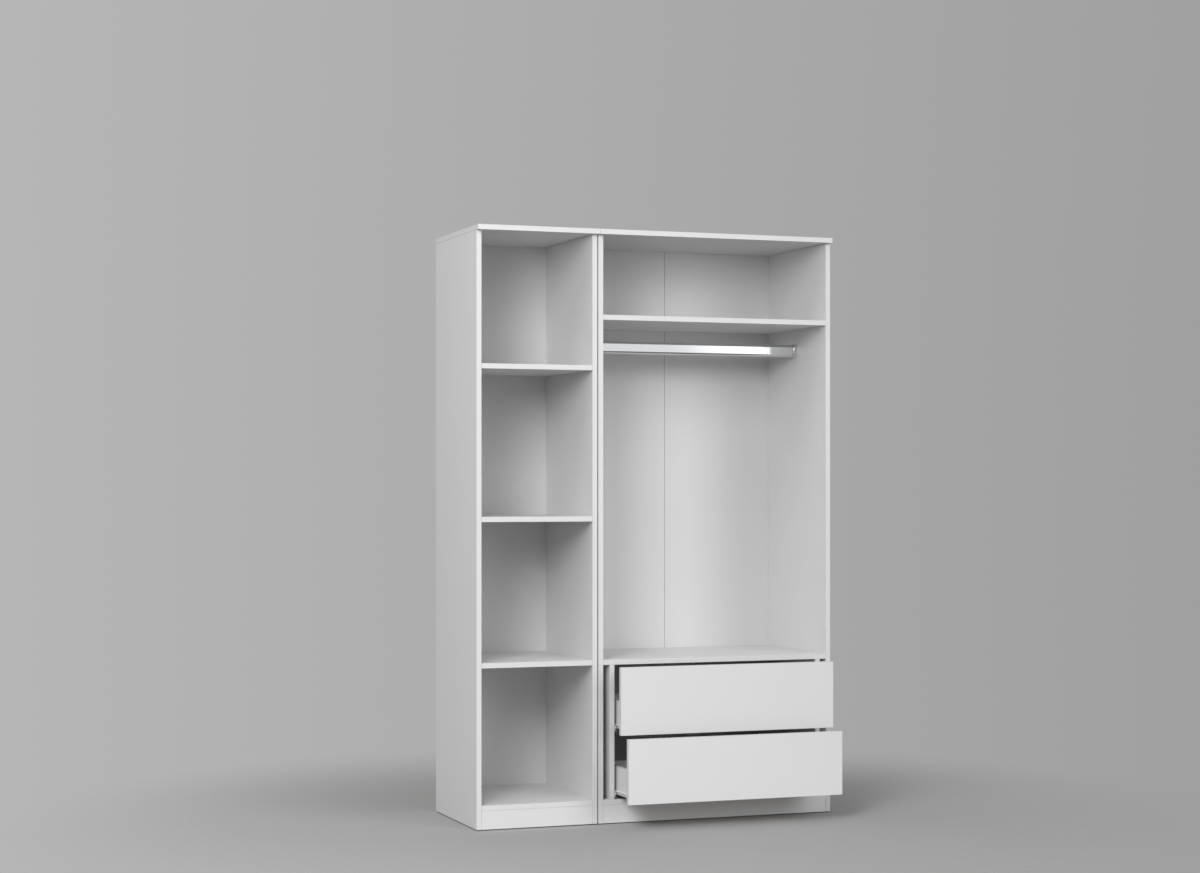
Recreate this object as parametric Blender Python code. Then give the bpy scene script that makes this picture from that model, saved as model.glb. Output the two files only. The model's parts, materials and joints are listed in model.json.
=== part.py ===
"""Open-front wardrobe: a narrow shelf unit beside a wide hanging unit with two drawers.

Units are metres and +Z is up. Places are written in carcass coordinates: X from the left outer face, Y
backwards from the side panels' front edges, Z up from the floor. The empty "wardrobe" carries everything
and puts the origin on the floor, in the middle of the width and of the depth, with the drawers standing
part-way open. Each drawer hangs on an empty of its own, which slides along Y.
"""

import math
from collections import namedtuple

import bmesh
import bpy
from mathutils import Vector

# ---------------------------------------------------------------- driving dimensions
GAP = 0.0003  # between two pieces that touch

# Carcass
WIDTH = 1.350
HEIGHT = 2.096
DEPTH = 0.505  # of the side panels, shelves and bottoms
BOARD = 0.018  # thickness of every melamine board in the carcass
TOP_OVERHANG = 0.020  # the top panels stand this far in front of the sides
UNIT_SEAM = 0.4485  # the hanging unit's left face
UNIT_GAP = 0.0045  # between the side panels of the two units
TOP_SEAM = 0.001  # between the two top panels
BOTTOM_TOP = 0.086  # upper face of the bottom panels
PLINTH_FOOT = 0.003  # lower edge of the plinths
GLIDE_HEIGHT = 0.003
SHELF_TOPS = {"lower": 0.579, "middle": 1.085, "upper": 1.617}
HAT_SHELF_TOP = 1.796
DRAWER_SHELF_TOP = 0.579
HARDBOARD = 0.003  # thickness of the back panels and the drawer bottoms
BACK_INSET = 0.002  # the back panels stop this far inside the outer faces
BACK_SEAM_X = 0.900
BACK_SEAM = 0.001  # between the two halves behind the hanging unit

# Hanging rail: an upright flat oval tube, its ends in cups on the side panels
RAIL_HEIGHT = 0.045
RAIL_DEPTH = 0.020
RAIL_WALL = 0.0015
RAIL_Y = 0.2575
RAIL_Z = 1.697
SOCKET_RIM = 0.0035  # wall of a cup round the rail
SOCKET_BASE = 0.002
SOCKET_LENGTH = 0.014

# Drawers: fronts lie over the spacer panels, boxes hang between them on roller runners
SPACER_SETOFF = 0.024  # from a side panel's inner face to its spacer
FRONT_LEFT = 0.4935
FRONT_RIGHT = 1.3115
FRONT_CLEARANCE = 0.001  # from a closed drawer front to the spacers' front edges
BOX_BOARD = 0.016
BOX_HEIGHT = 0.096
BOX_LENGTH = 0.350
RUNNER_SPACE = 0.0125  # each side, between a spacer and the drawer box
GROOVE_DEPTH = 0.006
GROOVE_RISE = 0.010  # from the box's lower edge to the groove for its bottom panel
DRAWER_TRAVEL = 0.260  # from closed to the runners' stops

Drawer = namedtuple("Drawer", "name front_low front_high box_low opened")
DRAWERS = (
    Drawer("upper", 0.321, 0.559, 0.338, 0.087),
    Drawer("lower", 0.0885, 0.315, 0.104, 0.161),
)

# Roller runners. Heights are measured from the drawer box's lower edge, and "across" distances from the
# spacer's inner face towards the drawer.
SHEET = 0.0012  # thickness of the folded steel
ROLLER_RADIUS = 0.009
ROLLER_WIDTH = 0.006
ROLLER_BORE = 0.0028
ROLLER_CHAMFER = 0.0005
AXLE_RADIUS = 0.0025
AXLE_HEAD_RADIUS = 0.004
CABINET_RUNNER_START = 0.002
CABINET_RUNNER_LENGTH = 0.350
CABINET_FLANGE_REACH = 0.0105
LOWER_FLANGE_TOP = -0.0102
UPPER_FLANGE_TOP = 0.0098
UPPER_FLANGE_START = 0.027  # the upper flange is cut back, clear of the front roller
CABINET_ROLLER_Y = 0.014
CABINET_ROLLER_ACROSS = 0.0057
DRAWER_ROLLER_Y = 0.338  # with the drawer closed
DRAWER_ROLLER_ACROSS = 0.0064
TRACK_TOP = 0.0115  # upper face of the drawer member's rolling track
TRACK_EDGE = 0.003
MEMBER_WEB_ACROSS = 0.011
MEMBER_FOOT_REACH = 0.025
EAR_LENGTH = 0.024  # of the part of the web that reaches down to the rear roller's axle
EAR_DROP = 0.007
EAR_INSET = 0.0001  # keeps the ear's faces just inside the web's
AXLE_HEAD_LENGTH = 0.001
STOP_BACKSET = 0.0075  # from the drawer roller's axle at full extension forward to the stop
STOP_DROP = 0.005  # height of the stop's lower edge
STOP_ACROSS = (0.004, 0.009)
MEMBER_HOLES = (0.030, 0.110, 0.200, 0.290)  # setbacks of the screw holes in the drawer members
MEMBER_HOLE_HEIGHT = 0.0045
CABINET_HOLES = (0.045, 0.130, 0.215, 0.300)
HOLE_RADIUS = 0.0022

# Fasteners and glides
SCREW_HEAD_RADIUS = 0.0034
SCREW_SHANK_RADIUS = 0.0018
SCREW_CONE = 0.0024
JOINING_SCREW = 0.034
JOINING_HEIGHTS = {"lower": 0.66, "upper": 1.93}
GLIDE_RADIUS = 0.008
GLIDE_SPIKE_RADIUS = 0.0012
GLIDE_SPIKE = 0.012
GLIDE_SETBACK = 0.020
BREAKOUT = 0.001  # how far a cutter stands out of the face it opens

# Fineness of the round pieces
ROLLER_SIDES = 24
AXLE_SIDES = 20
SCREW_SIDES = 16
HOLE_SIDES = 12
OVAL_STEPS = 10  # in each of the rail's half circles
SHARP_ANGLE = math.radians(40)

# ---------------------------------------------------------------- derived places
FACE_PROUD = FRONT_CLEARANCE + BOARD  # a closed drawer's face, in front of the side panels
BACK_Y = DEPTH + GAP
REAR_Y = BACK_Y + HARDBOARD
FRONT_Y = FACE_PROUD + max(drawer.opened for drawer in DRAWERS)
ORIGIN = (-WIDTH / 2, (FRONT_Y - REAR_Y) / 2, 0)

Unit = namedtuple("Unit", "name left right top_left top_right")
SHELF_UNIT = Unit("shelf_unit", 0, UNIT_SEAM - UNIT_GAP, 0, UNIT_SEAM - TOP_SEAM)
HANGING_UNIT = Unit("hanging_unit", UNIT_SEAM, WIDTH, UNIT_SEAM, WIDTH)
UNITS = (SHELF_UNIT, HANGING_UNIT)
TOP_UNDERSIDE = HEIGHT - BOARD
OPENING_LEFT = HANGING_UNIT.left + BOARD + SPACER_SETOFF + BOARD
OPENING_RIGHT = HANGING_UNIT.right - BOARD - SPACER_SETOFF - BOARD
BOX_LEFT = OPENING_LEFT + RUNNER_SPACE
BOX_RIGHT = OPENING_RIGHT - RUNNER_SPACE
BOX_START = GAP - FRONT_CLEARANCE
BOX_END = BOX_START + BOX_LENGTH

RIGHT = (1, 0, 0)
LEFT = (-1, 0, 0)
UP = (0, 0, 1)

# Colour, roughness and metallic value of each finish
FINISHES = {
    "white_melamine": ((0.80, 0.80, 0.80, 1), 0.45, 0.0),
    "white_hardboard": ((0.74, 0.74, 0.73, 1), 0.55, 0.0),
    "chrome": ((0.78, 0.79, 0.80, 1), 0.12, 1.0),
    "white_steel": ((0.78, 0.78, 0.78, 1), 0.35, 0.0),
    "zinc_steel": ((0.56, 0.57, 0.58, 1), 0.35, 1.0),
    "white_nylon": ((0.72, 0.72, 0.70, 1), 0.40, 0.0),
    "grey_plastic": ((0.10, 0.10, 0.10, 1), 0.50, 0.0),
}


# ---------------------------------------------------------------- making objects
def clear_scene():
    for old in list(bpy.data.objects):
        bpy.data.objects.remove(old)


def add_empty(name, location, parent=None):
    empty = bpy.data.objects.new(name, None)
    bpy.context.scene.collection.objects.link(empty)
    empty.parent = parent
    empty.location = location
    return empty


def own_material(name, finish):
    colour, roughness, metallic = FINISHES[finish]
    material = bpy.data.materials.new(name)
    material.use_nodes = True
    shader = material.node_tree.nodes["Principled BSDF"]
    shader.inputs["Base Color"].default_value = colour
    shader.inputs["Roughness"].default_value = roughness
    shader.inputs["Metallic"].default_value = metallic
    return material


def add_object(name, body, parent, finish, location=(0, 0, 0), direction=None):
    """Turn the bmesh into a named object under parent, its own Z along a direction if that is given. Without
    a finish it is a hidden cutter or addition."""
    bmesh.ops.recalc_face_normals(body, faces=body.faces)
    mesh = bpy.data.meshes.new(name)
    body.to_mesh(mesh)
    body.free()
    mesh.shade_smooth()
    mesh.set_sharp_from_angle(angle=SHARP_ANGLE)
    piece = bpy.data.objects.new(name, mesh)
    bpy.context.scene.collection.objects.link(piece)
    piece.parent = parent
    piece.location = location
    if direction:
        piece.rotation_euler = Vector(direction).to_track_quat("Z", "Y").to_euler()
    if finish:
        mesh.materials.append(own_material(name, finish))
    else:
        piece.hide_render = True
        piece.display_type = "WIRE"
    return piece


def add_box(name, low, high, parent, finish=None):
    """A box between two corners, its origin at its centre."""
    low, high = Vector(low), Vector(high)
    body = bmesh.new()
    bmesh.ops.create_cube(body, size=1)
    bmesh.ops.scale(body, vec=high - low, verts=body.verts)
    return add_object(name, body, parent, finish, (low + high) / 2)


def loft(body, loops, closed=False):
    """Skin a stack of loops with equal point counts. An open stack gets caps, a closed one joins its ends."""
    rows = [[body.verts.new(point) for point in loop] for loop in loops]
    pairs = list(zip(rows, rows[1:]))
    if closed:
        pairs.append((rows[-1], rows[0]))
    else:
        body.faces.new(rows[0])
        body.faces.new(rows[-1])
    for lower, upper in pairs:
        for i in range(len(lower)):
            j = (i + 1) % len(lower)
            body.faces.new((lower[i], lower[j], upper[j], upper[i]))


def circle(radius, along, sides):
    turns = [2 * math.pi * (i + 0.5) / sides for i in range(sides)]
    return [Vector((radius * math.cos(a), radius * math.sin(a), along)) for a in turns]


def add_turned(name, rings, sides, place, parent, finish=None, closed=False):
    """A turned solid. A ring is (distance along the axis, radius). The place is the start and the
    direction of the axis."""
    body = bmesh.new()
    loft(body, [circle(radius, along, sides) for along, radius in rings], closed)
    return add_object(name, body, parent, finish, *place)


def oval(height, depth, x):
    """An upright flat oval in the YZ plane: two half circles joined by straight sides."""
    radius = depth / 2
    straight = height / 2 - radius
    points = []
    for centre, start in ((straight, 0), (-straight, math.pi)):
        for i in range(OVAL_STEPS + 1):
            a = start + math.pi * i / OVAL_STEPS
            points.append(Vector((x, radius * math.cos(a), centre + radius * math.sin(a))))
    return points


def add_extruded(name, outline, y_low, y_high, parent, finish):
    """An outline of (x, z) corners drawn along Y."""
    body = bmesh.new()
    loft(body, [[Vector((x, y, z)) for x, z in outline] for y in (y_low, y_high)])
    return add_object(name, body, parent, finish)


def combine(piece, other, operation):
    modifier = piece.modifiers.new(other.name, "BOOLEAN")
    modifier.operation = operation
    modifier.solver = "EXACT"
    modifier.object = other


def cut(pieces, cutter):
    for piece in pieces:
        combine(piece, cutter, "DIFFERENCE")


# ---------------------------------------------------------------- carcass
def between_sides(name, unit, y_low, y_high, z_low, z_high, parent):
    low = (unit.left + BOARD + GAP, y_low, z_low)
    high = (unit.right - BOARD - GAP, y_high, z_high)
    return add_box(name, low, high, parent, "white_melamine")


def add_shelf(name, unit, top, parent):
    return between_sides(name, unit, 0, DEPTH, top - BOARD, top, parent)


def add_unit_shell(unit, parent):
    """Sides, top, bottom and plinth of one unit, by name."""
    boards = {}
    for side, x in (("side_left", unit.left), ("side_right", unit.right - BOARD)):
        low = (x, 0, GLIDE_HEIGHT)
        high = (x + BOARD, DEPTH, TOP_UNDERSIDE - GAP)
        boards[side] = add_box(f"{unit.name}_{side}", low, high, parent, "white_melamine")
    low = (unit.top_left, -TOP_OVERHANG, TOP_UNDERSIDE)
    high = (unit.top_right, DEPTH, HEIGHT)
    boards["top"] = add_box(f"{unit.name}_top", low, high, parent, "white_melamine")
    boards["bottom"] = add_shelf(f"{unit.name}_bottom", unit, BOTTOM_TOP, parent)
    plinth_top = BOTTOM_TOP - BOARD - GAP
    name = f"{unit.name}_plinth"
    boards["plinth"] = between_sides(name, unit, 0, BOARD, PLINTH_FOOT, plinth_top, parent)
    return boards


def add_backs(parent):
    """One back panel behind the shelf unit, and two that meet in the middle behind the hanging unit."""
    left, right = HANGING_UNIT.left + BACK_INSET, HANGING_UNIT.right - BACK_INSET
    panels = {
        "shelf_unit_back": (BACK_INSET, SHELF_UNIT.right - BACK_INSET),
        "hanging_unit_back_left": (left, BACK_SEAM_X - BACK_SEAM / 2),
        "hanging_unit_back_right": (BACK_SEAM_X + BACK_SEAM / 2, right),
    }
    for name, (x_low, x_high) in panels.items():
        low = (x_low, BACK_Y, BOTTOM_TOP - BOARD + BACK_INSET)
        high = (x_high, REAR_Y, HEIGHT - BACK_INSET)
        add_box(name, low, high, parent, "white_hardboard")


def add_spacers(parent):
    """The two upright panels that carry the cabinet runners and stop the closed drawer fronts."""
    for side, x in (("left", OPENING_LEFT - BOARD), ("right", OPENING_RIGHT)):
        low = (x, 0, BOTTOM_TOP + GAP)
        high = (x + BOARD, DEPTH, DRAWER_SHELF_TOP - BOARD - GAP)
        add_box(f"drawer_spacer_{side}", low, high, parent, "white_melamine")


def add_joining_screws(shells, parent):
    """Screws from inside the hanging unit's left side panel into the shelf unit's right one, heads flush."""
    x = HANGING_UNIT.left + BOARD
    boards = [shells["hanging_unit"]["side_left"], shells["shelf_unit"]["side_right"]]
    head, shank = SCREW_HEAD_RADIUS, SCREW_SHANK_RADIUS
    rings = [(0, head), (SCREW_CONE, shank), (JOINING_SCREW, shank)]
    pocket = [
        (-BREAKOUT, head + GAP),
        (0, head + GAP),
        (SCREW_CONE, shank + GAP),
        (JOINING_SCREW + GAP, shank + GAP),
    ]
    for height, z in JOINING_HEIGHTS.items():
        name = f"joining_screw_{height}"
        place = ((x, DEPTH / 2, z), LEFT)
        add_turned(name, rings, SCREW_SIDES, place, parent, "zinc_steel")
        cut(boards, add_turned(name + "_pocket", pocket, SCREW_SIDES, place, parent))


def add_glides(shells, parent):
    """Plastic glides nailed up into the lower edges of the side panels."""
    disc_top = GLIDE_HEIGHT - GAP
    spike_top = GLIDE_HEIGHT + GLIDE_SPIKE
    rings = [
        (0, GLIDE_RADIUS - GAP),
        (disc_top, GLIDE_RADIUS),
        (disc_top, GLIDE_SPIKE_RADIUS),
        (spike_top, GLIDE_SPIKE_RADIUS),
    ]
    wide = GLIDE_SPIKE_RADIUS + GAP
    pocket = [(disc_top, wide), (spike_top + GAP, wide)]
    for unit in UNITS:
        panels = {"left": unit.left + BOARD / 2, "right": unit.right - BOARD / 2}
        for side, x in panels.items():
            for end, y in (("front", GLIDE_SETBACK), ("rear", DEPTH - GLIDE_SETBACK)):
                name = f"{unit.name}_glide_{side}_{end}"
                place = ((x, y, 0), UP)
                add_turned(name, rings, SCREW_SIDES, place, parent, "grey_plastic")
                hole = add_turned(name + "_pocket", pocket, SCREW_SIDES, place, parent)
                cut([shells[unit.name][f"side_{side}"]], hole)


# ---------------------------------------------------------------- hanging rail
def add_rail(parent):
    """The tube and its two cups; each cup's floor lies against a side panel."""
    faces = {"left": (HANGING_UNIT.left + BOARD, 1), "right": (HANGING_UNIT.right - BOARD, -1)}
    ends = []
    for side, (face, inward) in faces.items():
        foot = inward * GAP
        floor = inward * (GAP + SOCKET_BASE)
        mouth = inward * (GAP + SOCKET_LENGTH)
        outer = (RAIL_HEIGHT + 2 * SOCKET_RIM, RAIL_DEPTH + 2 * SOCKET_RIM)
        inner = (RAIL_HEIGHT + 2 * GAP, RAIL_DEPTH + 2 * GAP)
        body = bmesh.new()
        loops = [oval(*outer, foot), oval(*outer, mouth), oval(*inner, mouth), oval(*inner, floor)]
        loft(body, loops)
        name = f"rail_socket_{side}"
        add_object(name, body, parent, "chrome", (face, RAIL_Y, RAIL_Z))
        ends.append(face + floor + inward * GAP)
    body = bmesh.new()
    bore = (RAIL_HEIGHT - 2 * RAIL_WALL, RAIL_DEPTH - 2 * RAIL_WALL)
    half = (ends[1] - ends[0]) / 2
    tube = (RAIL_HEIGHT, RAIL_DEPTH)
    loops = [oval(*tube, -half), oval(*tube, half), oval(*bore, half), oval(*bore, -half)]
    loft(body, loops, closed=True)
    add_object("hanging_rail", body, parent, "chrome", (sum(ends) / 2, RAIL_Y, RAIL_Z))


# ---------------------------------------------------------------- roller runners
def across(side, distance):
    """X at a distance from the left or right spacer's inner face, towards the drawer."""
    return OPENING_LEFT + distance if side == "left" else OPENING_RIGHT - distance


def towards_drawer(side):
    return RIGHT if side == "left" else LEFT


def roller_height(member):
    """Axle height above the box's lower edge: under the track in front, on the lower flange at the rear."""
    if member == "cabinet":
        return TRACK_TOP - SHEET - GAP - ROLLER_RADIUS
    return LOWER_FLANGE_TOP + (UPPER_FLANGE_TOP - SHEET - LOWER_FLANGE_TOP) / 2


def drill_web(runner, side, distance, setbacks, z, parent):
    """A row of screw holes through a runner's web, whose outer face is at that distance across."""
    rings = [(-BREAKOUT, HOLE_RADIUS), (SHEET + BREAKOUT, HOLE_RADIUS)]
    for number, y in enumerate(setbacks, 1):
        place = ((across(side, distance), y, z), towards_drawer(side))
        hole = add_turned(f"{runner.name}_hole_{number}", rings, HOLE_SIDES, place, parent)
        cut([runner], hole)


def add_cabinet_runner(drawer, side, parent):
    """A channel screwed to the spacer, with an axle for its front roller and a stop in its upper flange."""
    z = drawer.box_low
    lower_top = z + LOWER_FLANGE_TOP
    upper_top = z + UPPER_FLANGE_TOP
    outline = [
        (GAP, lower_top - SHEET),
        (CABINET_FLANGE_REACH, lower_top - SHEET),
        (CABINET_FLANGE_REACH, lower_top),
        (GAP + SHEET, lower_top),
        (GAP + SHEET, upper_top - SHEET),
        (CABINET_FLANGE_REACH, upper_top - SHEET),
        (CABINET_FLANGE_REACH, upper_top),
        (GAP, upper_top),
    ]
    outline = [(across(side, x), height) for x, height in outline]
    start, end = CABINET_RUNNER_START, CABINET_RUNNER_START + CABINET_RUNNER_LENGTH
    name = f"{drawer.name}_cabinet_runner_{side}"
    runner = add_extruded(name, outline, start, end, parent, "white_steel")
    web_face = GAP + SHEET
    cutback_x = sorted((across(side, web_face), across(side, CABINET_FLANGE_REACH + BREAKOUT)))
    low = (cutback_x[0], start - BREAKOUT, upper_top - SHEET - BREAKOUT)
    high = (cutback_x[1], UPPER_FLANGE_START, upper_top + BREAKOUT)
    cut([runner], add_box(name + "_cutback", low, high, parent))
    drill_web(runner, side, GAP, CABINET_HOLES, z + roller_height("drawer"), parent)
    stop_y = DRAWER_ROLLER_Y - DRAWER_TRAVEL - STOP_BACKSET
    stop_x = sorted(across(side, x) for x in STOP_ACROSS)
    low = (stop_x[0], stop_y - SHEET, z + STOP_DROP)
    high = (stop_x[1], stop_y, upper_top - SHEET / 2)
    combine(runner, add_box(name + "_stop", low, high, parent), "UNION")
    inner = CABINET_ROLLER_ACROSS - ROLLER_WIDTH / 2 - GAP
    outer = CABINET_ROLLER_ACROSS + ROLLER_WIDTH / 2 + GAP
    rings = [
        (SHEET / 2 + GAP, AXLE_HEAD_RADIUS),
        (inner, AXLE_HEAD_RADIUS),
        (inner, AXLE_RADIUS),
        (outer, AXLE_RADIUS),
        (outer, AXLE_HEAD_RADIUS),
        (outer + AXLE_HEAD_LENGTH, AXLE_HEAD_RADIUS),
    ]
    centre = (across(side, 0), CABINET_ROLLER_Y, z + roller_height("cabinet"))
    place = (centre, towards_drawer(side))
    combine(runner, add_turned(name + "_axle", rings, AXLE_SIDES, place, parent), "UNION")


def add_drawer_runner(drawer, side, parent):
    """The member under a drawer side: a foot under the board, a web beside it and a track over the front
    roller, with an axle for the rear roller on a deeper ear."""
    z = drawer.box_low
    web = MEMBER_WEB_ACROSS
    foot = -GAP - SHEET
    outline = [
        (web, foot),
        (MEMBER_FOOT_REACH, foot),
        (MEMBER_FOOT_REACH, -GAP),
        (web + SHEET, -GAP),
        (web + SHEET, TRACK_TOP),
        (TRACK_EDGE, TRACK_TOP),
        (TRACK_EDGE, TRACK_TOP - SHEET),
        (web, TRACK_TOP - SHEET),
    ]
    outline = [(across(side, x), z + height) for x, height in outline]
    name = f"{drawer.name}_drawer_runner_{side}"
    runner = add_extruded(name, outline, BOX_START, BOX_END, parent, "white_steel")
    drill_web(runner, side, web, MEMBER_HOLES, z + MEMBER_HOLE_HEIGHT, parent)
    ear_x = sorted((across(side, web + EAR_INSET), across(side, web + SHEET - EAR_INSET)))
    low = (ear_x[0], BOX_END - EAR_LENGTH, z - EAR_DROP)
    high = (ear_x[1], BOX_END - BREAKOUT, z + TRACK_TOP - SHEET)
    combine(runner, add_box(name + "_ear", low, high, parent), "UNION")
    inner = DRAWER_ROLLER_ACROSS - ROLLER_WIDTH / 2 - GAP
    outer = DRAWER_ROLLER_ACROSS + ROLLER_WIDTH / 2 + GAP
    rings = [
        (inner - AXLE_HEAD_LENGTH, AXLE_HEAD_RADIUS),
        (inner, AXLE_HEAD_RADIUS),
        (inner, AXLE_RADIUS),
        (outer, AXLE_RADIUS),
        (outer, AXLE_HEAD_RADIUS),
        (web + SHEET / 2, AXLE_HEAD_RADIUS),
    ]
    centre = (across(side, 0), DRAWER_ROLLER_Y, z + roller_height("drawer"))
    place = (centre, towards_drawer(side))
    combine(runner, add_turned(name + "_axle", rings, AXLE_SIDES, place, parent), "UNION")


def add_roller(name, x, y, z, parent):
    """A nylon roller, its origin on its axle, which runs along X."""
    half = ROLLER_WIDTH / 2
    tread = ROLLER_RADIUS - ROLLER_CHAMFER
    shoulder = half - ROLLER_CHAMFER
    rings = [
        (-half, tread),
        (-shoulder, ROLLER_RADIUS),
        (shoulder, ROLLER_RADIUS),
        (half, tread),
        (half, ROLLER_BORE),
        (-half, ROLLER_BORE),
    ]
    add_turned(name, rings, ROLLER_SIDES, ((x, y, z), RIGHT), parent, "white_nylon", closed=True)


# ---------------------------------------------------------------- drawers
def add_drawer_boards(drawer, parent):
    """Front, sides, back and bottom panel; the bottom lies in a groove round the front and sides."""
    prefix = f"{drawer.name}_drawer"
    low = (FRONT_LEFT, -FACE_PROUD, drawer.front_low)
    high = (FRONT_RIGHT, -FRONT_CLEARANCE, drawer.front_high)
    boards = {"front": add_box(f"{prefix}_front", low, high, parent, "white_melamine")}
    z = drawer.box_low
    for side, x in (("left", BOX_LEFT), ("right", BOX_RIGHT - BOX_BOARD)):
        low = (x, BOX_START, z)
        high = (x + BOX_BOARD, BOX_END, z + BOX_HEIGHT)
        boards[side] = add_box(f"{prefix}_side_{side}", low, high, parent, "white_melamine")
    inside_left, inside_right = BOX_LEFT + BOX_BOARD, BOX_RIGHT - BOX_BOARD
    groove_low = z + GROOVE_RISE
    groove_high = groove_low + HARDBOARD + 2 * GAP
    low = (inside_left - GROOVE_DEPTH, -FRONT_CLEARANCE - GROOVE_DEPTH, groove_low)
    high = (inside_right + GROOVE_DEPTH, BOX_END + BREAKOUT, groove_high)
    cut(boards.values(), add_box(f"{prefix}_groove", low, high, parent))
    low = (inside_left + GAP, BOX_END - BOX_BOARD, groove_high)
    high = (inside_right - GAP, BOX_END, z + BOX_HEIGHT)
    add_box(f"{prefix}_back", low, high, parent, "white_melamine")
    reach = GROOVE_DEPTH - GAP
    low = (inside_left - reach, -FRONT_CLEARANCE - reach, groove_low + GAP)
    high = (inside_right + reach, BOX_END, groove_high - GAP)
    add_box(f"{prefix}_bottom", low, high, parent, "white_hardboard")


def add_drawer(drawer, wardrobe):
    """One drawer on its own empty, the cabinet runners that it rolls on, and the rollers of both."""
    slide = add_empty(f"{drawer.name}_drawer_slide", (0, -drawer.opened, 0), wardrobe)
    add_drawer_boards(drawer, slide)
    z = drawer.box_low
    for side in ("left", "right"):
        add_drawer_runner(drawer, side, slide)
        add_cabinet_runner(drawer, side, wardrobe)
        x = across(side, DRAWER_ROLLER_ACROSS)
        height = z + roller_height("drawer")
        add_roller(f"{drawer.name}_drawer_roller_{side}", x, DRAWER_ROLLER_Y, height, slide)
        x = across(side, CABINET_ROLLER_ACROSS)
        height = z + roller_height("cabinet")
        add_roller(f"{drawer.name}_cabinet_roller_{side}", x, CABINET_ROLLER_Y, height, wardrobe)


def build():
    clear_scene()
    wardrobe = add_empty("wardrobe", ORIGIN)
    shells = {unit.name: add_unit_shell(unit, wardrobe) for unit in UNITS}
    for name, top in SHELF_TOPS.items():
        add_shelf(f"shelf_{name}", SHELF_UNIT, top, wardrobe)
    add_shelf("hat_shelf", HANGING_UNIT, HAT_SHELF_TOP, wardrobe)
    add_shelf("drawer_shelf", HANGING_UNIT, DRAWER_SHELF_TOP, wardrobe)
    add_spacers(wardrobe)
    add_backs(wardrobe)
    add_rail(wardrobe)
    for drawer in DRAWERS:
        add_drawer(drawer, wardrobe)
    add_joining_screws(shells, wardrobe)
    add_glides(shells, wardrobe)


build()
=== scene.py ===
"""Looks of the open-front wardrobe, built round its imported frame.

Melamine boards, hardboard backs, a chrome rail and powder-coated drawer runners.

Everything is in metres in the frame's own axes: +X right, +Y to the back, +Z up, floor at Z = 0.
"""

import json
import math

import bmesh
import bpy
from mathutils import Matrix, Vector


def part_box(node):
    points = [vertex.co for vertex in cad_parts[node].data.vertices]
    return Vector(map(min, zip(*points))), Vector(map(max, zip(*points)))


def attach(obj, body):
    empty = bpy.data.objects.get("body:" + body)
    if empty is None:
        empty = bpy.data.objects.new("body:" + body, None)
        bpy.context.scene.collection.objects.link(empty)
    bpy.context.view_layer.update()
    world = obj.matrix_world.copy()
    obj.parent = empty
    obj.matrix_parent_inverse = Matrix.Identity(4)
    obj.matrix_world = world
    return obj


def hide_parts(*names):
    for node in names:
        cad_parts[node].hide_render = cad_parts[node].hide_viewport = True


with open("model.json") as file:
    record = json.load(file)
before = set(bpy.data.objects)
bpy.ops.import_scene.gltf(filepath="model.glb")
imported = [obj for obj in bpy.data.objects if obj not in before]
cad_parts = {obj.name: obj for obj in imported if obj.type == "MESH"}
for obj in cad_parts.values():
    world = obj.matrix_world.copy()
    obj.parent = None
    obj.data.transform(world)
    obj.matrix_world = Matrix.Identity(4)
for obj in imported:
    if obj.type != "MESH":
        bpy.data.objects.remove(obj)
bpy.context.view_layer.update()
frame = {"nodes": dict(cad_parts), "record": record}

NODES = frame["nodes"]
BODY_OF = {
    node: body
    for body, nodes in frame["record"]["behaviour"]["bodies"].items()
    for node in nodes
}
SIDES = {"-X": (0, 0), "+X": (0, 1), "-Y": (1, 0), "+Y": (1, 1), "-Z": (2, 0), "+Z": (2, 1)}
SMOOTH_ANGLE = math.radians(38)  # edges under this angle are smooth

# Greys of the finishes
FOIL_WHITE = 0.70
BAND_WHITE = 0.685
LACQUER_WHITE = 0.70
FLOOR_GREY = 0.385

# Sizes that the finishes and the new pieces need
BAND = 0.001  # thickness of an edge band
GLUE = 0.00016  # joint between an edge band and the foil
SKIN = 0.0001  # depth to which a bare side shows its core on the neighbouring sides
BOARD_ARRIS = 0.0007  # width of a softened edge
SHEET_ARRIS = 0.0002
GLIDE_ARRIS = 0.0003
# painted light: where the floor fades, the backdrop's grey shows through and paints the wardrobe's cast
# shadow lighter
FLOOR_SOLID = 0.7  # the floor is whole this far out from the middle
FLOOR_END = 2.4  # and gone from here on
WARDROBE_MIDDLE = (0, 0, 1.05)
RAIL_STEPS = 28  # facets of each half circle
RAIL_WALL = 0.0015
NAIL_MARGIN = 0.03  # nails keep this far from the borders of a back panel
NAIL_PITCH = {"across": 0.13, "up": 0.15}

# Runner screws: their setbacks from the front of the carcass or of the drawer's side, how far the
# runner's web is from the spacer, and their height over the drawer's lower edge
CARCASS_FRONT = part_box("hanging_unit_side_left")[0].y
CABINET_SCREWS = (0.045, 0.130, 0.215, 0.300)
CABINET_WEB = 0.0015
CABINET_SCREW_LEVEL = -0.0008
DRAWER_SCREWS = (0.0307, 0.1107, 0.2007, 0.2907)
DRAWER_WEB = 0.0110
DRAWER_SCREW_LEVEL = 0.0045


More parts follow.
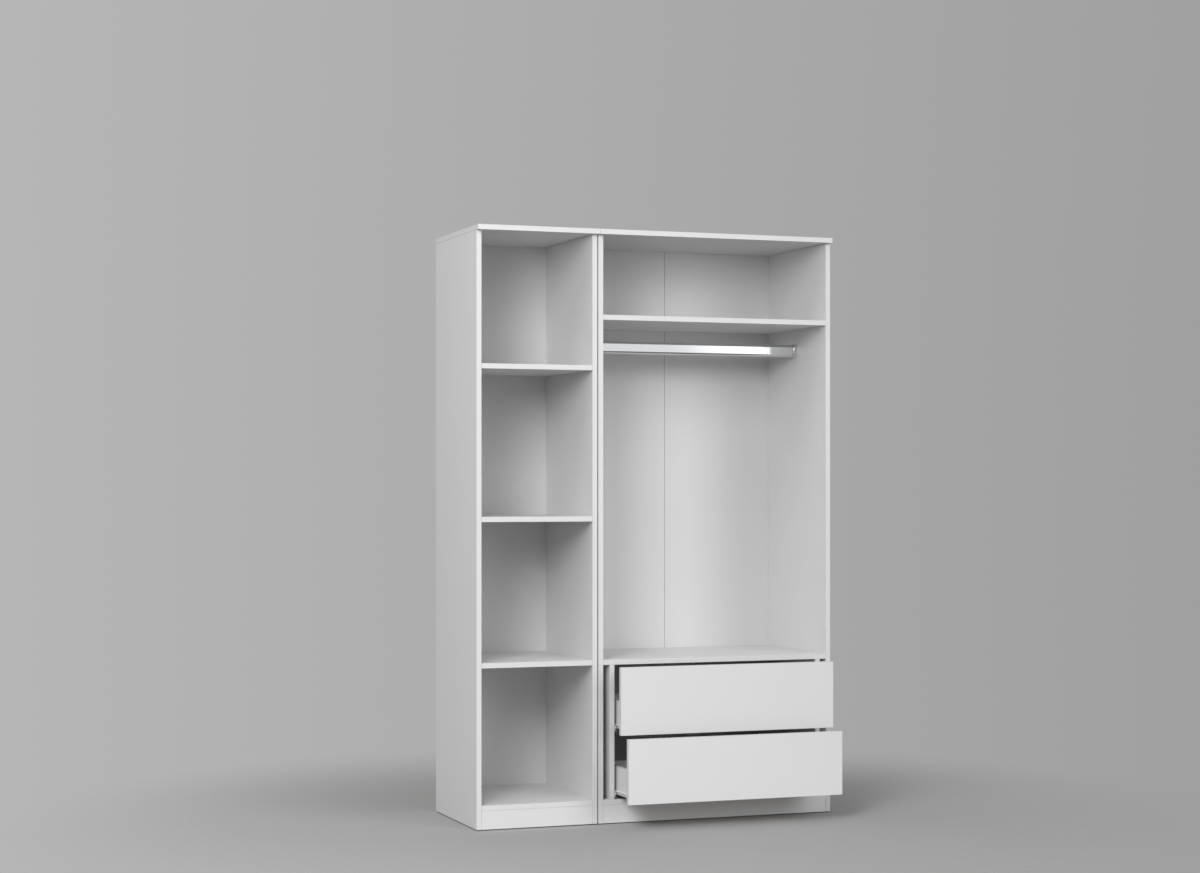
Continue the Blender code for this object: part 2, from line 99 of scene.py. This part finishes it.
# ---------------------------------------------------------------- shader graphs
class Graph:
    """A material and short calls that add nodes to it."""

    def __init__(self, name):
        self.material = bpy.data.materials.new(name)
        self.material.use_nodes = True
        self.tree = self.material.node_tree
        self.shader = self.tree.nodes["Principled BSDF"]
        self.place = self.node("TexCoord").outputs["Object"]
        self.axes = None

    def node(self, kind, inputs=None, **settings):
        made = self.tree.nodes.new("ShaderNode" + kind)
        for name, value in settings.items():
            setattr(made, name, value)
        for name, value in (inputs or {}).items():
            self.feed(made.inputs[name], value)
        return made

    def feed(self, socket, value):
        if isinstance(value, bpy.types.NodeSocket):
            self.tree.links.new(value, socket)
        else:
            socket.default_value = value

    def set(self, **inputs):
        """Principled inputs by name, with underscores for spaces."""
        for name, value in inputs.items():
            self.feed(self.shader.inputs[name.replace("_", " ").title()], value)

    def noise(self, scale, detail=2.0, stretch=(1, 1, 1), roughness=0.5):
        place = self.node("Mapping", {"Vector": self.place, "Scale": stretch}).outputs["Vector"]
        inputs = {"Vector": place, "Scale": scale, "Detail": detail, "Roughness": roughness}
        return self.node("TexNoise", inputs).outputs["Fac"]

    def ramp(self, factor, stops):
        """A colour ramp. A stop is (position, grey or colour)."""
        made = self.node("ValToRGB", {"Fac": factor})
        elements = made.color_ramp.elements
        while len(elements) < len(stops):
            elements.new(1)
        for element, (position, colour) in zip(elements, stops):
            element.position = position
            element.color = (*colour, 1) if isinstance(colour, tuple) else (colour, colour, colour, 1)
        return made.outputs["Color"]

    def range(self, factor, low, high):
        inputs = {"Value": factor, "To Min": low, "To Max": high}
        return self.node("MapRange", inputs).outputs["Result"]

    def math(self, operation, first, second):
        return self.node("Math", {0: first, 1: second}, operation=operation).outputs["Value"]

    def mix(self, factor, first, second):
        return self.node("Mix", {0: factor, 6: first, 7: second}, data_type="RGBA").outputs[2]

    def blend(self, factor, first, second):
        return self.node("Mix", {0: factor, 2: first, 3: second}).outputs[0]

    def bump(self, height, distance, strength=1.0, normal=None):
        inputs = {"Height": height, "Distance": distance, "Strength": strength}
        if normal:
            inputs["Normal"] = normal
        return self.node("Bump", inputs).outputs["Normal"]

    def near(self, node, side, depth):
        """1 within a depth of one side of a node's box, and 0 elsewhere."""
        if not self.axes:
            self.axes = self.node("SeparateXYZ", {"Vector": self.place}).outputs
        axis, end = SIDES[side]
        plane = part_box(node)[end][axis]
        if end:
            return self.math("GREATER_THAN", self.axes[axis], plane - depth)
        return self.math("LESS_THAN", self.axes[axis], plane + depth)

    def near_any(self, node, sides, depth):
        found = 0.0
        for side in sides:
            found = self.math("MAXIMUM", self.near(node, side, depth), found)
        return found


def foil_look(g, white, rough):
    """Printed foil pressed onto the board: satin, with a fine pearl grain and faint press waves."""
    colour = g.ramp(g.noise(2.5, 3.0), [(0.3, white * 0.985), (0.7, white)])
    roughness = g.range(g.noise(140, 4.0), rough - 0.05, rough + 0.05)
    waves = g.math("MULTIPLY", g.noise(45, 2.0), 2.0)
    return colour, roughness, g.math("ADD", g.noise(1300, 2.0), waves)


def chip_look(g):
    """Raw particle board: pale and dark chips pressed flat, with resin between them."""
    place = g.node("Mapping", {"Vector": g.place, "Scale": (1, 1, 2.2)}).outputs["Vector"]
    chips = g.node("TexVoronoi", {"Vector": place, "Scale": 420.0})
    shade = g.node("SeparateColor", {"Color": chips.outputs["Color"]}).outputs["Red"]
    tints = [(0.0, (0.28, 0.18, 0.10)), (0.45, (0.48, 0.35, 0.21)), (1.0, (0.66, 0.53, 0.36))]
    dust = g.ramp(g.noise(900, 4.0), [(0.35, 0.72), (0.65, 1.0)])
    inputs = {0: 1.0, 6: g.ramp(shade, tints), 7: dust}
    colour = g.node("Mix", inputs, data_type="RGBA", blend_type="MULTIPLY").outputs[2]
    return colour, chips.outputs["Distance"]


def fibre_look(g):
    """The bare side of hardboard: brown felted fibres."""
    fibres = g.noise(260, 6.0, (1, 1, 0.35), 0.65)
    light = g.mix(g.noise(6, 3.0), (0.31, 0.21, 0.13, 1), (0.39, 0.275, 0.18, 1))
    return g.mix(g.range(fibres, -0.4, 1.2), (0.19, 0.125, 0.075, 1), light), fibres


def make_board(node, banded, bare):
    """White foil on a board's faces, an edge band on some sides and bare particle board on others."""
    g = Graph(f"{node}_melamine")
    foil, foil_rough, pearl = foil_look(g, FOIL_WHITE, 0.40)
    wood, chips = chip_look(g)
    band = g.near_any(node, banded, BAND)
    glue = g.math("SUBTRACT", g.near_any(node, banded, BAND + GLUE), band)
    open_core = g.near_any(node, bare, SKIN)
    white = g.mix(band, foil, g.ramp(g.noise(30, 2.0), [(0.3, BAND_WHITE * 0.985), (0.7, BAND_WHITE)]))
    lined = g.mix(g.math("MULTIPLY", glue, 0.55), white, (0.16, 0.15, 0.14, 1))
    g.set(base_color=g.mix(open_core, lined, wood))
    smooth = g.blend(band, foil_rough, g.range(g.noise(40, 2.0), 0.34, 0.37))
    g.set(roughness=g.blend(open_core, smooth, 0.88))
    grain = g.bump(pearl, 0.00003, 0.5)
    g.set(normal=g.bump(g.math("MULTIPLY", chips, open_core), 0.0004, 0.6, grain))
    return g.material


def make_hardboard(node, white_side):
    """Lacquered white on one side and bare fibre on the others."""
    g = Graph(f"{node}_hardboard")
    lacquer, rough, waves = foil_look(g, LACQUER_WHITE, 0.58)
    brown, fibres = fibre_look(g)
    bare = g.near_any(node, [side for side in SIDES if side != white_side], SKIN)
    g.set(base_color=g.mix(bare, lacquer, brown), roughness=g.blend(bare, rough, 0.82))
    paint = g.bump(waves, 0.00003, 0.4)
    g.set(normal=g.bump(g.math("MULTIPLY", fibres, bare), 0.00025, 0.5, paint))
    return g.material


def make_chrome():
    """Chrome plate on drawn tube: bright, with faint lengthwise draw lines."""
    g = Graph("chrome_plate")
    lines = g.noise(120, 3.0, (0.02, 1, 1))
    g.set(base_color=g.ramp(g.noise(9, 3.0), [(0.3, (0.70, 0.71, 0.72)), (0.7, (0.73, 0.74, 0.75))]))
    g.set(metallic=1.0, roughness=g.range(lines, 0.06, 0.11), normal=g.bump(lines, 0.00002, 0.15))
    return g.material


def make_powder():
    """White powder coat on folded sheet: a slight orange peel."""
    g = Graph("powder_coat")
    peel = g.noise(380, 2.0)
    g.set(base_color=g.ramp(g.noise(20, 3.0), [(0.3, 0.78), (0.7, 0.81)]))
    g.set(roughness=g.range(peel, 0.28, 0.38), normal=g.bump(peel, 0.00006, 0.5))
    return g.material


def make_zinc():
    """Bright zinc plate, with slightly cloudy patches."""
    g = Graph("zinc_plate")
    clouds = g.noise(500, 4.0)
    g.set(base_color=g.ramp(clouds, [(0.3, (0.55, 0.56, 0.57)), (0.7, (0.68, 0.69, 0.70))]))
    g.set(metallic=1.0, roughness=g.range(clouds, 0.22, 0.4), normal=g.bump(clouds, 0.00002, 0.3))
    return g.material


def make_plastic(name, grey, rough):
    """Moulded plastic with a faint spark-eroded texture."""
    g = Graph(name)
    grain = g.noise(1800, 2.0)
    g.set(base_color=g.ramp(g.noise(60, 2.0), [(0.3, grey * 0.93), (0.7, grey)]))
    g.set(roughness=g.range(grain, rough - 0.05, rough + 0.05), normal=g.bump(grain, 0.00003, 0.4))
    return g.material


def make_floor():
    """Matt studio floor that gives way to the backdrop's grey further out, which paints the wardrobe's
    cast shadow on it lighter there.
    """
    g = Graph("floor_paint")
    tone = g.noise(0.7, 3.0)
    g.set(base_color=g.ramp(tone, [(0.2, FLOOR_GREY * 0.985), (0.8, FLOOR_GREY)]), roughness=0.85)
    g.set(normal=g.bump(g.noise(90, 3.0), 0.0002, 0.2))
    # painted light: the fade lets the backdrop's grey lighten the wardrobe's cast shadow on the floor
    # from FLOOR_SOLID out
    reach = g.node("VectorMath", {0: g.place}, operation="LENGTH").outputs["Value"]
    inputs = {"Value": reach, "From Min": FLOOR_SOLID, "From Max": FLOOR_END}
    gone = g.node("MapRange", inputs, interpolation_type="SMOOTHSTEP").outputs["Result"]
    clear = g.node("BsdfTransparent").outputs["BSDF"]
    mixed = g.node("MixShader", {0: gone, 1: g.shader.outputs["BSDF"], 2: clear}).outputs["Shader"]
    g.tree.links.new(mixed, g.tree.nodes["Material Output"].inputs["Surface"])
    return g.material


CHROME = make_chrome()
POWDER = make_powder()
ZINC = make_zinc()
NYLON = make_plastic("nylon", 0.74, 0.42)
GREY_PLASTIC = make_plastic("grey_plastic", 0.16, 0.5)


# ---------------------------------------------------------------- CAD nodes that stay
def make_cleaner():
    """Geometry nodes that join a faceted solid's loose corners and smooth it where it is round."""
    group = bpy.data.node_groups.new("clean_solid", "GeometryNodeTree")
    group.interface.new_socket("Solid", in_out="INPUT", socket_type="NodeSocketGeometry")
    group.interface.new_socket("Solid", in_out="OUTPUT", socket_type="NodeSocketGeometry")

    def add(kind, link, inputs=None, **settings):
        made = group.nodes.new(kind)
        for name, value in settings.items():
            setattr(made, name, value)
        for name, value in (inputs or {}).items():
            made.inputs[name].default_value = value
        if link:
            group.links.new(link, made.inputs[0])
        return made

    start = add("NodeGroupInput", None)
    merged = add("GeometryNodeMergeByDistance", start.outputs[0], {"Distance": 0.00001})
    plain = add("GeometryNodeRemoveAttribute", merged.outputs[0], {"Name": "custom_normal"})
    kind = "GeometryNodeSetShadeSmooth"
    smooth = add(kind, plain.outputs[0], {"Shade Smooth": True}, domain="FACE")
    creased = add(kind, smooth.outputs[0], {"Shade Smooth": False}, domain="EDGE")
    angle = add("GeometryNodeInputMeshEdgeAngle", None)
    sharp = add("ShaderNodeMath", angle.outputs[0], operation="GREATER_THAN")
    sharp.inputs[1].default_value = SMOOTH_ANGLE
    group.links.new(sharp.outputs[0], creased.inputs["Selection"])
    add("NodeGroupOutput", creased.outputs[0])
    return group


CLEANER = make_cleaner()


def dress(node, material, arris, segments=2):
    """Give a CAD node its finish and softened edges."""
    piece = NODES[node]
    piece.data.materials.clear()
    piece.data.materials.append(material)
    piece.modifiers.new("clean", "NODES").node_group = CLEANER
    flatten = piece.modifiers.new("flatten", "DECIMATE")
    flatten.decimate_type = "DISSOLVE"
    flatten.angle_limit = math.radians(0.5)
    bevel = piece.modifiers.new("arris", "BEVEL")
    bevel.width = arris
    bevel.segments = segments
    bevel.limit_method = "ANGLE"
    bevel.angle_limit = SMOOTH_ANGLE
    bevel.harden_normals = True
    bevel.use_clamp_overlap = False


BACKS = ("shelf_unit_back", "hanging_unit_back_left", "hanging_unit_back_right")
BOTTOMS = ("upper_drawer_bottom", "lower_drawer_bottom")
FITTINGS = ("runner", "roller", "glide", "screw", "rail")
BOARDS = [
    node
    for node in NODES
    if node not in BACKS + BOTTOMS and not any(word in node for word in FITTINGS)
]


def dress_board(node):
    """Edge bands where the edge shows, bare board where it is hidden or faces the wall or floor."""
    if node.endswith("unit_top"):
        banded, bare = ("-X", "+X", "-Y"), ("+Y",)
    elif node.endswith("drawer_front"):
        banded, bare = ("-X", "+X", "-Z", "+Z"), ()
    elif "_drawer_side" in node:
        banded, bare = ("+Z",), ("-Y", "+Y", "-Z")
    elif node.endswith("drawer_back"):
        banded, bare = ("+Z",), ("-X", "+X", "-Z")
    elif node.endswith("plinth"):
        banded, bare = ("-Z",), ("-X", "+X", "+Z")
    elif "side" in node or "spacer" in node:
        banded, bare = ("-Y",), ("+Y", "-Z", "+Z")
    else:
        banded, bare = ("-Y",), ("-X", "+X", "+Y")
    dress(node, make_board(node, banded, bare), BOARD_ARRIS)


# ---------------------------------------------------------------- making pieces
def object_from(name, body):
    bmesh.ops.recalc_face_normals(body, faces=body.faces)
    mesh = bpy.data.meshes.new(name)
    body.to_mesh(mesh)
    body.free()
    piece = bpy.data.objects.new(name, mesh)
    bpy.context.scene.collection.objects.link(piece)
    return piece


def finish_piece(piece, node, material):
    """Give a new piece its finish and slot, smooth its round faces and let it ride on the body."""
    piece.data.materials.append(material)
    piece.data.shade_smooth()
    piece.data.set_sharp_from_angle(angle=SMOOTH_ANGLE)
    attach(piece, BODY_OF[node])
    return piece


def add_cuboid(body, low, high):
    made = bmesh.ops.create_cube(body, size=1)["verts"]
    bmesh.ops.scale(body, vec=high - low, verts=made)
    bmesh.ops.translate(body, vec=(low + high) / 2, verts=made)


def oval(height, depth, x, steps):
    """An upright flat oval round the X axis: two half circles joined by straight sides."""
    radius = depth / 2
    straight = height / 2 - radius
    points = []
    for centre, start in ((straight, 0), (-straight, math.pi)):
        for i in range(steps + 1):
            a = start + math.pi * i / steps
            points.append(Vector((x, radius * math.cos(a), centre + radius * math.sin(a))))
    return points


def skin(body, loops, closed=False):
    """Faces between a stack of loops with equal point counts, with caps unless it is closed."""
    rows = [[body.verts.new(point) for point in loop] for loop in loops]
    pairs = list(zip(rows, rows[1:]))
    if closed:
        pairs.append((rows[-1], rows[0]))
    else:
        body.faces.new(rows[0])
        body.faces.new(rows[-1])
    for lower, upper in pairs:
        for i in range(len(lower)):
            j = (i + 1) % len(lower)
            body.faces.new((lower[i], lower[j], upper[j], upper[i]))


def add_turned(body, rings, sides, matrix, closed=False):
    """A turned solid: rings of (distance along the axis, radius), with the axis along the matrix's Z."""
    turns = [2 * math.pi * i / sides for i in range(sides)]
    loops = [
        [matrix @ Vector((radius * math.cos(a), radius * math.sin(a), along)) for a in turns]
        for along, radius in rings
    ]
    skin(body, loops, closed)


def facing(place, direction):
    return Matrix.Translation(place) @ Vector(direction).to_track_quat("Z", "Y").to_matrix().to_4x4()


def middle(node):
    low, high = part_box(node)
    return (low + high) / 2


# ---------------------------------------------------------------- screws and nails
def screw_head(radius, height, sides=28):
    """A domed head along +Z with a crossed recess, its seat at Z = 0."""
    body = bmesh.new()
    rings = [(0, radius), (height * 0.35, radius)]
    for i in range(1, 5):
        a = math.pi / 2 * i / 5
        rings.append((height * (0.35 + 0.65 * math.sin(a)), radius * (0.25 + 0.75 * math.cos(a))))
    rings.append((height, radius * 0.25))
    add_turned(body, rings, sides, Matrix.Identity(4))
    head = object_from("screw_head", body)
    cross = bmesh.new()
    reach, half = radius * 0.58, radius * 0.12
    depth = Vector((0, 0, height * 0.3))
    add_cuboid(cross, Vector((-reach, -half, 0)) + depth, Vector((reach, half, height * 2)))
    add_cuboid(cross, Vector((-half, -reach, 0)) + depth, Vector((half, reach, height * 2)))
    tool = object_from("recess", cross)
    cut = head.modifiers.new("recess", "BOOLEAN")
    cut.operation = "DIFFERENCE"
    cut.solver = "EXACT"
    cut.use_self = True
    cut.object = tool
    shape = head.evaluated_get(bpy.context.evaluated_depsgraph_get())
    mesh = bpy.data.meshes.new_from_object(shape)
    bpy.data.objects.remove(head)
    bpy.data.objects.remove(tool)
    return mesh


def add_screws(name, node, head, places, direction):
    """Copies of a screw head, each turned a little further, as one piece on the node's body."""
    body = bmesh.new()
    for number, place in enumerate(places):
        before = len(body.verts)
        body.from_mesh(head)
        body.verts.ensure_lookup_table()
        turn = Matrix.Rotation(math.radians(37 * number), 4, "Z")
        bmesh.ops.transform(body, matrix=facing(place, direction) @ turn, verts=body.verts[before:])
    finish_piece(object_from(name, body), node, ZINC)


def dress_runner(node, head):
    """Powder coat on a runner, and a screw head over each of its holes."""
    dress(node, POWDER, SHEET_ARRIS)
    on_left = node.endswith("left")
    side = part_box(f"{node.split('_')[0]}_drawer_side_left")[0]
    if on_left:
        wall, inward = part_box("drawer_spacer_left")[1].x, 1
    else:
        wall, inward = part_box("drawer_spacer_right")[0].x, -1
    if "cabinet" in node:
        front, setbacks, facing_way = CARCASS_FRONT, CABINET_SCREWS, inward
        across, level = CABINET_WEB, CABINET_SCREW_LEVEL
    else:
        front, setbacks, facing_way = side.y, DRAWER_SCREWS, -inward
        across, level = DRAWER_WEB, DRAWER_SCREW_LEVEL
    x = wall + inward * across
    places = [Vector((x, front + setback, side.z + level)) for setback in setbacks]
    add_screws(f"{node}_screws", node, head, places, (facing_way, 0, 0))


def nail_places(node):
    """Where a back panel is nailed: along each board and each side panel behind which it lies."""
    unit = node.split("_back")[0]
    low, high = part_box(node)
    shelves = {
        "shelf_unit": ("shelf_lower", "shelf_middle", "shelf_upper"),
        "hanging_unit": ("hat_shelf", "drawer_shelf"),
    }
    across = spread(low.x + NAIL_MARGIN, high.x - NAIL_MARGIN, NAIL_PITCH["across"])
    up = spread(low.z + NAIL_MARGIN, high.z - NAIL_MARGIN, NAIL_PITCH["up"])
    places = []
    for board in (f"{unit}_bottom", f"{unit}_top", *shelves[unit]):
        places += [(x, middle(board).z) for x in across]
    for side in (f"{unit}_side_left", f"{unit}_side_right"):
        x = middle(side).x
        if low.x < x < high.x:
            places += [(x, z) for z in up]
    return places


def spread(start, end, pitch):
    """Evenly spaced places between two ends, about a pitch apart."""
    count = max(1, round((end - start) / pitch))
    return [start + (end - start) * i / count for i in range(count + 1)]


def add_nails(node):
    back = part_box(node)[1].y
    body = bmesh.new()
    rings = [(-0.0003, 0.0017), (0.0, 0.0018), (0.00008, 0.0017), (0.00014, 0.0011)]
    for x, z in nail_places(node):
        add_turned(body, rings, 14, facing(Vector((x, back, z)), (0, 1, 0)))
    finish_piece(object_from(f"{node}_nails", body), node, ZINC)


# ---------------------------------------------------------------- hanging rail
def add_rail():
    """The flat oval tube, with a fine round section."""
    low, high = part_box("hanging_rail")
    size = high - low
    outer, inner = (size.z, size.y), (size.z - 2 * RAIL_WALL, size.y - 2 * RAIL_WALL)
    half = size.x / 2
    ends = ((outer, -half), (outer, half), (inner, half), (inner, -half))
    body = bmesh.new()
    skin(body, [oval(*section, x, RAIL_STEPS) for section, x in ends], closed=True)
    bmesh.ops.translate(body, vec=(low + high) / 2, verts=body.verts)
    piece = finish_piece(object_from("rail_tube", body), "hanging_rail", CHROME)
    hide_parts("hanging_rail")
    return size


def add_socket(node, inward, rail):
    """One cup: a floor against the side panel and a wall round the tube, rounded at the rim."""
    low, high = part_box(node)
    size = high - low
    foot = low.x if inward > 0 else high.x
    rim, play, floor = 0.0005, 0.0003, 0.002
    mouth = (size.z - rail.z) / 2 - play
    profile = [(0, 0), (size.x - rim, 0)]
    for i in range(1, 5):
        a = math.pi / 2 * i / 4
        profile.append((size.x - rim + rim * math.sin(a), rim * (1 - math.cos(a))))
    profile += [(size.x, mouth), (floor, mouth)]
    loops = [
        oval(size.z - 2 * inset, size.y - 2 * inset, inward * along, RAIL_STEPS)
        for along, inset in profile
    ]
    body = bmesh.new()
    skin(body, loops)
    bmesh.ops.translate(body, vec=(foot, middle(node).y, middle(node).z), verts=body.verts)
    piece = finish_piece(object_from(f"{node}_cup", body), node, CHROME)
    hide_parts(node)


# ---------------------------------------------------------------- rollers and joining screws
def add_roller(node):
    """A nylon roller: rounded tread, and a ring recess round its hub on both faces."""
    low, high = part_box(node)
    half, radius = (high.x - low.x) / 2, (high.z - low.z) / 2
    bore, hub, web, edge = 0.0028, 0.0046, 0.0074, 0.0006
    recess = half - 0.0008
    rings = [(-half, bore), (-half, hub), (-recess, hub + 0.0003), (-recess, web - 0.0003), (-half, web)]
    for i in range(5):
        a = math.pi / 2 * i / 4
        rings.append((-half + edge - edge * math.cos(a), radius - edge + edge * math.sin(a)))
    for i in range(5):
        a = math.pi / 2 * i / 4
        rings.append((half - edge + edge * math.sin(a), radius - edge + edge * math.cos(a)))
    rings += [(half, web), (recess, web - 0.0003), (recess, hub + 0.0003), (half, hub), (half, bore)]
    body = bmesh.new()
    add_turned(body, rings, 48, facing(middle(node), (1, 0, 0)), closed=True)
    piece = finish_piece(object_from(f"{node}_wheel", body), node, NYLON)
    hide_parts(node)


# ---------------------------------------------------------------- stage
def add_camera():
    camera = bpy.data.cameras.new("camera")
    camera.lens = 69.51
    camera.sensor_width = 36
    camera.shift_y = 0.0392
    holder = bpy.data.objects.new("camera", camera)
    holder.location = (-3.0298, -7.8245, 1.2007)
    holder.rotation_euler = (math.radians(90), 0, math.radians(-20.137))
    bpy.context.scene.collection.objects.link(holder)
    bpy.context.scene.camera = holder


def add_floor():
    body = bmesh.new()
    bmesh.ops.create_grid(body, x_segments=1, y_segments=1, size=FLOOR_END + 1)
    floor = object_from("floor", body)
    floor.location.z = -0.0002
    floor.data.materials.append(make_floor())


def aim(holder, target):
    holder.rotation_euler = (Vector(target) - holder.location).to_track_quat("-Z", "Y").to_euler()
    holder.visible_camera = False
    bpy.context.scene.collection.objects.link(holder)


def add_sun(name, azimuth, elevation, strength, width):
    """Light from a far, wide diffuser that no gloss shows. Azimuth 0 is the front, 90 the right."""
    light = bpy.data.lights.new(name, "SUN")
    light.energy = strength
    light.angle = math.radians(width)
    holder = bpy.data.objects.new(name, light)
    a, e = math.radians(azimuth), math.radians(elevation)
    holder.location = (9 * math.sin(a) * math.cos(e), -9 * math.cos(a) * math.cos(e), 9 * math.sin(e))
    aim(holder, (0, 0, 0))
    holder.visible_glossy = False


def add_softbox(name, place, target, width, height, power, dimmed=1.0):
    """A panel light that may fade towards its left end, to a share of its full strength."""
    light = bpy.data.lights.new(name, "AREA")
    light.shape = "RECTANGLE"
    light.size = width
    light.size_y = height
    light.energy = power
    if dimmed < 1:
        light.use_nodes = True
        tree = light.node_tree
        split = tree.nodes.new("ShaderNodeSeparateXYZ")
        fade = tree.nodes.new("ShaderNodeMapRange")
        fade.interpolation_type = "SMOOTHSTEP"
        ends = {"From Min": 0.45, "From Max": 0.9, "To Min": dimmed, "To Max": 1}
        for socket, value in ends.items():
            fade.inputs[socket].default_value = value
        tree.links.new(tree.nodes.new("ShaderNodeNewGeometry").outputs["Parametric"], split.inputs[0])
        tree.links.new(split.outputs["X"], fade.inputs["Value"])
        tree.links.new(fade.outputs["Result"], tree.nodes["Emission"].inputs["Strength"])
    holder = bpy.data.objects.new(name, light)
    holder.location = place
    aim(holder, target)


def add_world(left, right, front):
    """Grey backdrop, lighter at the left than at the right, with a dimmer half behind the camera."""
    world = bpy.data.worlds.new("studio")
    world.use_nodes = True
    tree = world.node_tree
    place = tree.nodes.new("ShaderNodeTexCoord")
    split = tree.nodes.new("ShaderNodeSeparateXYZ")
    tree.links.new(place.outputs["Generated"], split.inputs[0])
    fades = (
        ("X", "Color", (0.1, 0.57, left, right)),
        ("Y", "Strength", (-0.3, 0.3, front, 1)),
    )
    for axis, socket, ends in fades:
        fade = tree.nodes.new("ShaderNodeMapRange")
        for name, value in zip(("From Min", "From Max", "To Min", "To Max"), ends):
            fade.inputs[name].default_value = value
        tree.links.new(split.outputs[axis], fade.inputs["Value"])
        tree.links.new(fade.outputs["Result"], tree.nodes["Background"].inputs[socket])
    bpy.context.scene.world = world
    bpy.context.scene.view_settings.view_transform = "Standard"


# ---------------------------------------------------------------- build
add_camera()
for node in BOARDS:
    dress_board(node)
for node in BACKS:
    dress(node, make_hardboard(node, "-Y"), SHEET_ARRIS, 1)
    add_nails(node)
for node in BOTTOMS:
    dress(node, make_hardboard(node, "+Z"), SHEET_ARRIS, 1)
rail_size = add_rail()
add_socket("rail_socket_left", 1, rail_size)
add_socket("rail_socket_right", -1, rail_size)
runner_head = screw_head(0.0032, 0.0009)
for node in NODES:
    if "_runner_" in node:
        dress_runner(node, runner_head)
    elif "_roller_" in node:
        add_roller(node)
    elif "glide" in node:
        dress(node, GREY_PLASTIC, GLIDE_ARRIS)
    elif "joining_screw" in node:
        dress(node, ZINC, SHEET_ARRIS)

add_floor()
add_world(0.465, 0.35, 0.43)
add_softbox("left_high", (-2.6, -3.5, 3.0), WARDROBE_MIDDLE, 1.5, 2.1, 106)
add_softbox("left_far", (-3.6, -4.6, 2.6), WARDROBE_MIDDLE, 1.5, 1.5, 45)
add_sun("left_fill", -60, 50, 0.66, 30)
add_sun("right_key", 30, 25, 0.83, 36)
add_sun("right_low", 30, 5, 0.43, 30)
add_softbox("rail_panel", (1.55, -3.4, 1.91), (1.55, 0, 1.91), 1.18, 1.8, 10.5, dimmed=0.50)
